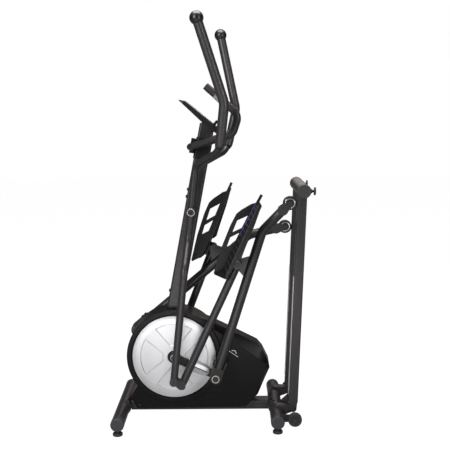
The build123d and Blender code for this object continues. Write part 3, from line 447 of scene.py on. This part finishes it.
def crank_cover(name, side):
    """Two silver mouldings along the crank, with a dark slit between them and a screw recess."""
    pin = CRANK_PIN[name]
    place = side_frame(AXLE, Vector((pin.x - AXLE.x, 0, pin.z - AXLE.z)))
    bm = bmesh.new()
    for flip in (-1, 1):
        loops = []
        for i in range(9):
            t = i / 8
            ease = 1.0 if t < 0.75 else math.sqrt(max(0.0, 1 - ((t - 0.75) / 0.25) ** 2 * 0.75))
            wide = (1 - (1 - COVER_TAPER) * t) * ease
            sink = 4.0 if i in (0, 8) else 0.0
            x = COVER_START + (COVER_END - COVER_START) * t
            loop = []
            for z, y in COVER_SECTION:
                height = y - (sink if y > 80 else 0)
                loop.append(bm.verts.new(place @ Vector((x, side * height * MM, flip * z * wide * MM))))
            loops.append(loop)
        for a, b in zip(loops, loops[1:]):
            join_loops(bm, a, b)
        bm.faces.new(loops[0])
        bm.faces.new(loops[-1])
    piece(f"crank_cover_{name}", bm, MATERIALS["disc_silver"], "crank",
          bevel=1.2 * MM)
    screw = bmesh.new()
    spot = place @ Vector((146.0 * MM, 0, -12.0 * MM))
    spot.y = side * 84.6 * MM
    turned(screw, [(0.1 * MM, 2.2 * MM), (1.6 * MM, 2.2 * MM), (2.0 * MM, 3.4 * MM), (3.4 * MM, 3.4 * MM),
                   (3.8 * MM, 2.6 * MM), (3.8 * MM, 0)], spot, side, segments=24)
    piece(f"crank_cover_screw_{name}", screw, MATERIALS["bright_steel"], "crank")


def hub_cap(name, side):
    """Black hub on the disc with a bright washer and a sunk bolt."""
    centre = Vector((AXLE.x, side * DISC_FACE, AXLE.z))
    bm = bmesh.new()
    turned(bm, [(27.5 * MM, -0.5 * MM), (27.5 * MM, 2 * MM), (26.0 * MM, 3.5 * MM), (22.5 * MM, 3.5 * MM)],
           centre, side)
    turned(bm, [(22.0 * MM, 18.6 * MM), (21.5 * MM, 20.0 * MM), (20.0 * MM, 20.8 * MM),
                (15.0 * MM, 20.8 * MM), (14.6 * MM, 19.0 * MM)], centre, side)
    piece(f"hub_cap_{name}", bm, MATERIALS["black_plastic"], "crank")
    ring = bmesh.new()
    turned(ring, [(14.4 * MM, 18.8 * MM), (14.2 * MM, 21.2 * MM), (13.0 * MM, 21.6 * MM),
                  (11.0 * MM, 21.0 * MM), (10.6 * MM, 18.8 * MM), (14.4 * MM, 18.8 * MM)], centre, side)
    piece(f"hub_washer_{name}", ring, MATERIALS["bright_steel"], "crank")
    nut = bmesh.new()
    turned(nut, [(9.6 * MM, 18.8 * MM), (9.4 * MM, 21.8 * MM), (8.4 * MM, 22.6 * MM), (5.4 * MM, 22.6 * MM),
                 (5.0 * MM, 19.4 * MM), (0.1 * MM, 19.4 * MM)], centre, side, segments=48)
    piece(f"hub_nut_{name}", nut, MATERIALS["bolt_steel"], "crank")


# ---------------------------------------------------------------- bright washers on the pivots

JOINT_FACE = 134.5 * MM           # outer face of the crank joint's washer, from the middle plane


def washer(name, centre, side, inner, outer, body):
    """Thin bright ring with softened edges, standing on a face."""
    bm = bmesh.new()
    edge = 0.35 * MM
    thick = 1.3 * MM
    profile = [(inner, -edge), (inner, thick - edge), (inner + edge, thick), (outer - edge, thick),
               (outer, thick - edge), (outer, -edge), (inner, -edge)]
    turned(bm, profile, centre, side)
    piece(name, bm, MATERIALS["bright_steel"], body)


def pivot_washers(name, side):
    mast_face = Vector((MAST_PIVOT.x, side * (outer_face("swing_pivot_axle", side) - 6 * MM), MAST_PIVOT.z))
    washer(f"mast_washer_{name}", mast_face, side, 12.2 * MM, 15.6 * MM, "base")
    pin = CRANK_PIN[name]
    pin_face = Vector((pin.x, side * JOINT_FACE, pin.z))
    washer(f"pin_washer_{name}", pin_face, side, 12.6 * MM, 15.8 * MM, f"arm_{name}")


# ---------------------------------------------------------------- rollers, wheels and feet

def roller(name, side):
    """Black running tyre with a waist, a bright bearing ring and a dark hub bolt."""
    centre = ROLLER[name].copy()
    half = 15.0 * MM
    bm = bmesh.new()
    profile = [(9.0, 13.4), (20.6, 13.4), (21.6, 14.6), (23.5, 15.0), (26.4, 14.2), (27.7, 12.0),
               (28.0, 8.0), (27.6, 3.0), (27.2, 0.0)]
    profile = [(r * MM, out * MM) for r, out in profile]
    mirror = [(r, -out) for r, out in reversed(profile[:-1])]
    turned(bm, profile + mirror, centre, side)
    turned(bm, [(5.2 * MM, half - 1 * MM), (5.2 * MM, -half + 1 * MM)], centre, side)
    piece(f"roller_tyre_{name}", bm, MATERIALS["roller_tyre"], f"roller_{name}",
          replaces=[f"roller_{name}"])
    for face in (-1, 1):
        ring = bmesh.new()
        start = 13.2 * MM
        turned(ring, [(20.4 * MM, start), (20.2 * MM, start + 1.1 * MM), (19.4 * MM, start + 1.5 * MM),
                      (16.4 * MM, start + 1.5 * MM), (15.8 * MM, start + 1.0 * MM), (15.6 * MM, start),
                      (20.4 * MM, start)], centre, side * face)
        end = "outer" if face > 0 else "inner"
        piece(f"roller_ring_{end}_{name}", ring, MATERIALS["bright_steel"], f"roller_{name}")


def transport_wheel(name, side):
    low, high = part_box(f"transport_wheel_{name}")
    centre = (low + high) / 2
    half = (high.y - low.y) / 2
    rim = (high.x - low.x) / 2
    bm = bmesh.new()
    profile = [(5.1 * MM, half), (8.5 * MM, half), (9.0 * MM, half - 3 * MM),
               (rim - 11 * MM, half - 3 * MM), (rim - 10 * MM, half - 0.4 * MM),
               (rim - 8.6 * MM, half), (rim - 2.6 * MM, half),
               (rim - 0.6 * MM, half - 1.6 * MM), (rim, half - 4.5 * MM), (rim, 2.2 * MM),
               (rim - 1.3 * MM, 1.0 * MM), (rim - 1.3 * MM, 0.0)]
    mirror = [(r, -out) for r, out in reversed(profile[:-1])]
    turned(bm, profile + mirror + [profile[0]], centre, side)
    rib_end = rim - 9.0 * MM
    rib = [(8.0 * MM, -1.4 * MM), (rib_end, -1.4 * MM), (rib_end, 1.4 * MM), (8.0 * MM, 1.4 * MM)]
    for i in range(6):
        place = Matrix.Translation(centre) @ Matrix.Rotation(i * math.pi / 3, 4, "Y")
        prism(bm, rib, -half + 1.2 * MM, half - 1.2 * MM, place)
    piece(f"wheel_{name}", bm, MATERIALS["rubber"], f"transport_wheel_{name}",
          replaces=[f"transport_wheel_{name}"])


def floor_foot(end, name):
    """Screw-in foot: a fluted rubber disc under a threaded stud."""
    node = f"{end}_foot_{name}"
    low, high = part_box(node)
    centre = Vector(((low.x + high.x) / 2, (low.y + high.y) / 2, 0))
    wide = (high.x - low.x) / 2
    top = 13.0 * MM
    bm = bmesh.new()
    profile = [(wide - 2.6 * MM, 0, False), (wide - 2.0 * MM, 0, False), (wide - 0.4 * MM, 1.4 * MM, True),
               (wide, 3.0 * MM, True), (wide, top - 3.6 * MM, True),
               (wide - 1.6 * MM, top - 1.0 * MM, True), (wide - 4.0 * MM, top, False),
               (11.0 * MM, top + 0.4 * MM, False),
               (9.0 * MM, top + 1.4 * MM, False), (8.6 * MM, top + 5.2 * MM, False),
               (5.0 * MM, top + 5.6 * MM, False)]
    for i in range(12):
        profile.append(((5.0 if i % 2 else 4.3) * MM, top + (6.4 + i * 1.1) * MM, False))
    turned_z(bm, profile, centre, flutes=32, depth=0.9 * MM)
    piece(f"floor_{end}_foot_{name}", bm, MATERIALS["rubber"], node, replaces=[node])


# ---------------------------------------------------------------- foam grips

SWING_UPPER_Y = 75.0
HANDLE_CORNERS = [(0, 0, 132), (0, 0, 190), (92, 163, 262), (93, 187, 444), (-39, 212, 742)]
HANDLE_BENDS = [48.0, 70.0, 90.0]
GRIP_START = 0.345
GRIP_RADIUS = 19.0


def handle_path(name, side):
    """Centre line of the upper handle, from the swing arm's top to the ball."""
    drop = LOW_BOLT[name] - MAST_PIVOT
    place = side_frame(MAST_PIVOT, Vector((-drop.z, 0, drop.x)))
    corners = [place @ Vector((x * MM, side * (SWING_UPPER_Y + y) * MM, z * MM))
               for x, y, z in HANDLE_CORNERS]
    return rounded_path(corners, [bend * MM for bend in HANDLE_BENDS])


def handle_grip(name, side):
    """Foam sleeve with rolled ends that swells a little where it is glued at its lower end."""
    points = part_of_path(handle_path(name, side), GRIP_START, 1.0)
    radii = []
    for i in range(len(points)):
        radius = GRIP_RADIUS
        radius -= {0: 2.0, 1: 0.35}.get(i, 0.0)
        radius += 0.10 * math.sin(i * 0.9)
        radii.append(radius * MM)
    bm = bmesh.new()
    tube_along(bm, points, radii)
    grip = piece(f"grip_{name}", bm, MATERIALS["foam"], f"swing_{name}",
                 replaces=[f"handle_grip_{name}"], smooth=60)
    band = bmesh.new()
    tube_along(band, part_of_path(handle_path(name, side), GRIP_START - 0.006, GRIP_START, step=0.002),
               [16.6 * MM] * 3)
    piece(f"grip_stop_{name}", band, MATERIALS["black_plastic"], f"swing_{name}",
          smooth=60)


# ---------------------------------------------------------------- pedals

LINK_Y = 154.0
PEDAL_HALF = 60.0
TREAD_INNER = ((-66.0, 38.0), (262.0, 50.0))     # toe and heel of the foot surface, inner side
TREAD_OUTER = ((-60.0, 21.0), (262.0, 44.0))
RIDGE_COUNT = 13
RIDGE_START = -48.0
RIDGE_SPAN = 288.0


def pedal_place(name):
    """Frame of the pedal link: its pivot at the origin, +X away from the lower bolt."""
    return side_frame(LINK_PIVOT[name], LINK_PIVOT[name] - LOW_BOLT[name])


def line_height(line, x):
    (x0, z0), (x1, z1) = line
    return z0 + (z1 - z0) * (x - x0) / (x1 - x0)


def tread_point(place, side, x, across, lift):
    """A point on the tread; across runs from 0 at the inner edge to 1 at the outer edge."""
    inner = line_height(TREAD_INNER, x)
    outer = line_height(TREAD_OUTER, x)
    y = side * (LINK_Y - PEDAL_HALF + 2 * PEDAL_HALF * across)
    return place @ Vector((x * MM, y * MM, (inner + (outer - inner) * across + lift) * MM))


def tread_strip(mesh_data, place, side, section, stations):
    """Adds a bar that follows the tread, through stations of (x, across).

    Each point of its section is an offset from the station: (x, across, lift).
    """
    loops = []
    for x, across in stations:
        loops.append([mesh_data.verts.new(tread_point(place, side, x + u, across + v, lift))
                      for u, v, lift in section])
    for a, b in zip(loops, loops[1:]):
        join_loops(mesh_data, a, b)
    mesh_data.faces.new(loops[0])
    mesh_data.faces.new(loops[-1])


def pedal_tread(name, side):
    """Rows of small slanted studs between the moulded ridges, a raised edge and a coloured line."""
    place = pedal_place(name)
    pitch = RIDGE_SPAN / (RIDGE_COUNT - 1)
    stud = [(-3.2, 0, -0.4), (3.2, 0, -0.4), (2.2, 0, 0.9), (-2.2, 0, 0.9)]
    bm = bmesh.new()
    for row in range(RIDGE_COUNT - 1):
        x = RIDGE_START + (row + 0.5) * pitch
        for column in range(7):
            across = 0.125 + 0.125 * column
            lean = 2.4 if (row + column) % 2 else -2.4
            tread_strip(bm, place, side, stud, [(x + lean, across - 0.036), (x - lean, across + 0.036)])
    piece(f"pedal_tread_{name}", bm, MATERIALS["rubber"], f"link_{name}")
    lip = bmesh.new()
    edge = [(0, -0.037, -0.5), (0, 0, -0.5), (0, 0, 2.6), (0, -0.02, 3.2), (0, -0.037, 2.6)]
    tread_strip(lip, place, side, edge, [(-54, 1.0), (100, 1.0), (255, 1.0)])
    piece(f"pedal_lip_{name}", lip, MATERIALS["cap_plastic"], f"link_{name}")
    accent = bmesh.new()
    line = [(0, 0, 0.2), (0, 0.022, 0.2), (0, 0.022, 3.0), (0, 0, 3.0)]
    tread_strip(accent, place, side, line, [(100, 0.045), (250, 0.045)])
    piece(f"pedal_accent_{name}", accent, LOOKS["accent_violet"], f"link_{name}")


def pedal_screws(name, side):
    """Two socket screws that hold the pedal on its link, seen on its outer skirt."""
    place = pedal_place(name)
    bm = bmesh.new()
    for x, z in ((-34.0, 24.5), (28.0, 27.0)):
        spot = place @ Vector((x * MM, 0, z * MM))
        spot.y = side * (LINK_Y + PEDAL_HALF) * MM
        turned(bm, [(4.2 * MM, -0.4 * MM), (4.2 * MM, 1.0 * MM), (3.4 * MM, 1.8 * MM), (2.0 * MM, 1.8 * MM),
                    (1.8 * MM, 0.4 * MM), (0.1 * MM, 0.4 * MM)], spot, side, segments=24)
    piece(f"pedal_screws_{name}", bm, MATERIALS["bolt_steel"], f"link_{name}")


# ---------------------------------------------------------------- housing details

HOUSING_FACE = 60.0
SKIRT = [(-88, 110), (124, 110), (158, 84), (138, 57), (-30, 54), (-64, 66)]
BADGE_PLACE = (84.0, 286.0)
BADGE_SLOPE = math.radians(-35)
BADGE_BAR = [(-26, -8), (26, -8), (26, -5.4), (-26, -5.4)]
BADGE_CHEVRON = [(-12, -1), (0, 6), (12, -1), (12, 3), (0, 10), (-12, 3)]


def housing_details(name, side):
    """Raised skirt panel, and a plain bar and chevron on each shell."""
    bm = bmesh.new()
    outline = [(x * MM, z * MM) for x, z in SKIRT]
    prism(bm, outline, side * (HOUSING_FACE - 0.5) * MM, side * (HOUSING_FACE + 3.0) * MM)
    piece(f"housing_skirt_{name}", bm, MATERIALS["housing_black"], "base",
          bevel=2.4 * MM)
    place = Matrix.Translation(Vector((BADGE_PLACE[0] * MM, 0, BADGE_PLACE[1] * MM)))
    place = place @ Matrix.Rotation(side * BADGE_SLOPE, 4, "Y")
    badge = bmesh.new()
    y0 = side * (HOUSING_FACE - 0.1) * MM
    y1 = side * (HOUSING_FACE + 0.25) * MM
    for outline in (BADGE_BAR, BADGE_CHEVRON):
        prism(badge, [(x * MM, z * MM) for x, z in outline], y0, y1, place)
    piece(f"housing_badge_{name}", badge, LOOKS["print_white"], "base")


# ---------------------------------------------------------------- console face

CONSOLE_TILT = math.radians(39.6)
CONSOLE_MIDDLE = (-50.0, 1263.0)
CONSOLE_TOP = 11.0
PRINT_LAYER = (CONSOLE_TOP - 0.65, CONSOLE_TOP - 0.5)
SEGMENTS = {
    "0": "abcdef", "1": "bc", "2": "abged", "3": "abgcd", "5": "afgcd", "8": "abcdefg",
}
SEGMENT_BARS = {
    "a": (-0.5, 1, 0.5, 1), "b": (0.5, 1, 0.5, 0), "c": (0.5, 0, 0.5, -1), "d": (-0.5, -1, 0.5, -1),
    "e": (-0.5, 0, -0.5, -1), "f": (-0.5, 1, -0.5, 0), "g": (-0.5, 0, 0.5, 0),
}
READOUTS = [("0:00", 0.0, 9.0), ("12", -32.0, 6.0), ("35", 32.0, 6.0)]


def console_place():
    place = Matrix.Translation(Vector((CONSOLE_MIDDLE[0] * MM, 0, CONSOLE_MIDDLE[1] * MM)))
    return place @ Matrix.Rotation(CONSOLE_TILT, 4, "Y")


def flat_bar(mesh_data, place, x0, x1, y0, y1, z0, z1):
    corners = [(x0, y0), (x1, y0), (x1, y1), (x0, y1)]
    lower = [mesh_data.verts.new(place @ Vector((x * MM, y * MM, z0 * MM))) for x, y in corners]
    upper = [mesh_data.verts.new(place @ Vector((x * MM, y * MM, z1 * MM))) for x, y in corners]
    mesh_data.faces.new(lower)
    mesh_data.faces.new(upper)
    join_loops(mesh_data, lower, upper)


def readout(mesh_data, place, text, along, height):
    """Seven-segment figures on the display; along the slab is -Z on the display's page."""
    pitch = height * 1.1
    start = -(len(text) - 1) * pitch / 2
    for i, mark in enumerate(text):
        y = start + i * pitch
        if mark == ":":
            for shift in (-0.4, 0.4):
                x = along - shift * height
                flat_bar(mesh_data, place, x - 0.7, x + 0.7, y - 0.7, y + 0.7, *PRINT_LAYER)
            continue
        for bar in SEGMENTS[mark]:
            u0, v0, u1, v1 = SEGMENT_BARS[bar]
            half = height / 2
            y0, y1 = sorted((y + u0 * half * 0.9, y + u1 * half * 0.9))
            x0, x1 = sorted((along - v0 * half, along - v1 * half))
            flat_bar(mesh_data, place, x0 - 0.55, x1 + 0.55, y0 - 0.55, y1 + 0.55, *PRINT_LAYER)


def console_details():
    """Display page with plain figures, and a printed line round the window."""
    place = console_place()
    page = bmesh.new()
    flat_bar(page, place, -50, 22, -48, 48, CONSOLE_TOP - 0.75, CONSOLE_TOP - 0.58)
    piece("console_display", page, LOOKS["display"], "base")
    figures = bmesh.new()
    for text, along, height in READOUTS:
        readout(figures, place, text, along, height)
    for y in (-16, 16):
        flat_bar(figures, place, -44, 16, y - 0.3, y + 0.3, *PRINT_LAYER)
    piece("console_figures", figures, MATERIALS["black_plastic"], "base")
    line = bmesh.new()
    across_ends = ((-71, -70, -67, 67), (40, 41, -67, 67))
    along_sides = ((-71, 41, -67.5, -66.5), (-71, 41, 66.5, 67.5))
    for x0, x1, y0, y1 in across_ends + along_sides:
        flat_bar(line, place, x0, x1, y0, y1, CONSOLE_TOP - 0.1, CONSOLE_TOP + 0.12)
    piece("console_line", line, LOOKS["print_white"], "base")


# ---------------------------------------------------------------- welds

WELD_THICK = 2.6 * MM
WELD_STEP = 1.2 * MM
LINK_BOSS_FACE = 119.5 * MM       # distances from the middle plane
SWING_BOSS_FACE = 61.0 * MM


def weld_ring(name, centre, axis, radius, body):
    """A rippled weld bead round a circle."""
    axis = axis.normalized()
    across = axis.orthogonal().normalized()
    other = axis.cross(across)
    count = int(radius * 2 * math.pi / WELD_STEP)
    points = []
    radii = []
    for i in range(count):
        angle = 2 * math.pi * i / count
        points.append(centre + (across * math.cos(angle) + other * math.sin(angle)) * radius)
        radii.append(WELD_THICK * (1 + 0.16 * math.sin(i * 2.1)))
    bm = bmesh.new()
    tube_along(bm, points, radii, segments=10)
    piece(name, bm, LOOKS["weld"], body, smooth=70)


def arm_welds(name, side):
    """Beads round the pedal link's pivot tube and the mast pivot tube."""
    pivot = LINK_PIVOT[name]
    face = Vector((pivot.x, side * LINK_BOSS_FACE, pivot.z))
    weld_ring(f"arm_weld_{name}", face, Vector((0, 1, 0)), 14.4 * MM, f"arm_{name}")
    mast = Vector((MAST_PIVOT.x, side * SWING_BOSS_FACE, MAST_PIVOT.z))
    weld_ring(f"swing_weld_{name}", mast, Vector((0, 1, 0)), 20.4 * MM, f"swing_{name}")


# ---------------------------------------------------------------- stage, lights and camera

ROOM_LIGHT = 0.06                 # what the machine's surfaces reflect of the room
FLOOR_SEEN = 0.985
FLOOR_REFLECTED = 0.22


def emitter(name, colour, seen, reflected):
    """White floor whose glow is dimmer in reflections than to the camera."""
    material = bpy.data.materials.new(name)
    material.use_nodes = True
    tree = material.node_tree
    tree.nodes.clear()
    output = tree.nodes.new("ShaderNodeOutputMaterial")
    add = tree.nodes.new("ShaderNodeAddShader")
    path = tree.nodes.new("ShaderNodeLightPath")
    brightness = tree.nodes.new("ShaderNodeMapRange")
    brightness.inputs["To Min"].default_value = reflected
    brightness.inputs["To Max"].default_value = seen
    tree.links.new(path.outputs["Is Camera Ray"], brightness.inputs["Value"])
    glow = tree.nodes.new("ShaderNodeEmission")
    glow.inputs["Color"].default_value = (*colour, 1)
    tree.links.new(brightness.outputs["Result"], glow.inputs["Strength"])
    matt = tree.nodes.new("ShaderNodeBsdfDiffuse")
    matt.inputs["Color"].default_value = (0.10, 0.10, 0.10, 1)
    tree.links.new(glow.outputs[0], add.inputs[0])
    tree.links.new(matt.outputs[0], add.inputs[1])
    tree.links.new(add.outputs[0], output.inputs[0])
    return material


def floor():
    bm = bmesh.new()
    size = 14.0
    corners = [(-size, -size), (size, -size), (size, size), (-size, size)]
    bm.faces.new([bm.verts.new((x, y, -0.0005)) for x, y in corners])
    mesh = bpy.data.meshes.new("floor")
    bm.to_mesh(mesh)
    bm.free()
    mesh.materials.append(emitter("floor_white", (1.0, 1.0, 1.0), FLOOR_SEEN, FLOOR_REFLECTED))
    obj = bpy.data.objects.new("floor", mesh)
    bpy.context.scene.collection.objects.link(obj)


def world_light():
    """White where the camera sees it, and a dimmer room for what the machine reflects."""
    world = bpy.data.worlds.new("studio")
    bpy.context.scene.world = world
    world.use_nodes = True
    tree = world.node_tree
    tree.nodes.clear()
    output = tree.nodes.new("ShaderNodeOutputWorld")
    mix = tree.nodes.new("ShaderNodeMixShader")
    path = tree.nodes.new("ShaderNodeLightPath")
    room = tree.nodes.new("ShaderNodeBackground")
    room.inputs["Color"].default_value = (1.0, 0.985, 0.97, 1)
    room.inputs["Strength"].default_value = ROOM_LIGHT
    seen = tree.nodes.new("ShaderNodeBackground")
    seen.inputs["Color"].default_value = (1.0, 1.0, 1.0, 1)
    tree.links.new(path.outputs["Is Camera Ray"], mix.inputs["Fac"])
    tree.links.new(room.outputs[0], mix.inputs[1])
    tree.links.new(seen.outputs[0], mix.inputs[2])
    tree.links.new(mix.outputs[0], output.inputs["Surface"])


def softbox(name, place, target, width, height, power, colour=(1.0, 1.0, 1.0)):
    light = bpy.data.lights.new(name, "AREA")
    light.shape = "RECTANGLE"
    light.size = width
    light.size_y = height
    light.energy = power
    light.color = colour
    obj = bpy.data.objects.new(name, light)
    obj.location = place
    obj.rotation_euler = (Vector(target) - Vector(place)).to_track_quat("-Z", "Y").to_euler()
    obj.visible_camera = False
    bpy.context.scene.collection.objects.link(obj)


def lights():
    """An overhead panel, a key at each front corner, a low panel for the disc and a rear light."""
    softbox("overhead", (0.0, 0.0, 3.2), (0, 0, 0.4), 2.0, 1.6, 100, colour=(1.0, 0.90, 0.87))
    softbox("front_left", (-1.9, -3.0, 2.2), (0, 0, 0.7), 0.45, 2.2, 84)
    softbox("front_right", (2.4, -2.6, 1.4), (0, 0, 0.7), 0.35, 2.2, 34)
    softbox("low_front", (-0.2, -1.7, 0.12), (-0.16, 0, 0.22), 1.2, 0.5, 10)
    softbox("back", (0.6, 3.0, 2.2), (0, 0, 0.8), 2.4, 1.6, 15, colour=(1.0, 0.90, 0.87))


def camera():
    forward = Vector((math.sin(CAMERA_TURN) * math.cos(CAMERA_DOWN),
                      math.cos(CAMERA_TURN) * math.cos(CAMERA_DOWN),
                      -math.sin(CAMERA_DOWN)))
    level = Vector((math.cos(CAMERA_TURN), -math.sin(CAMERA_TURN), 0))
    above = level.cross(forward)
    right = level * math.cos(CAMERA_ROLL) + above * math.sin(CAMERA_ROLL)
    up = above * math.cos(CAMERA_ROLL) - level * math.sin(CAMERA_ROLL)
    data = bpy.data.cameras.new("camera")
    data.lens = CAMERA_LENS
    data.sensor_width = 36.0
    obj = bpy.data.objects.new("camera", data)
    turn = Matrix((right, up, -forward)).transposed()
    obj.matrix_world = Matrix.Translation(CAMERA_PLACE) @ turn.to_4x4()
    bpy.context.scene.collection.objects.link(obj)
    bpy.context.scene.camera = obj


# ---------------------------------------------------------------- build

camera()
floor()
world_light()
lights()
bpy.context.scene.view_settings.view_transform = "Standard"
paint_frame_nodes()
for side_name, side_sign in SIDES.items():
    crank_disc(side_name, side_sign)
    crank_cover(side_name, side_sign)
    hub_cap(side_name, side_sign)
    pivot_washers(side_name, side_sign)
    roller(side_name, side_sign)
    transport_wheel(side_name, side_sign)
    floor_foot("front", side_name)
    floor_foot("rear", side_name)
    handle_grip(side_name, side_sign)
    pedal_tread(side_name, side_sign)
    pedal_screws(side_name, side_sign)
    housing_details(side_name, side_sign)
    arm_welds(side_name, side_sign)
console_details()
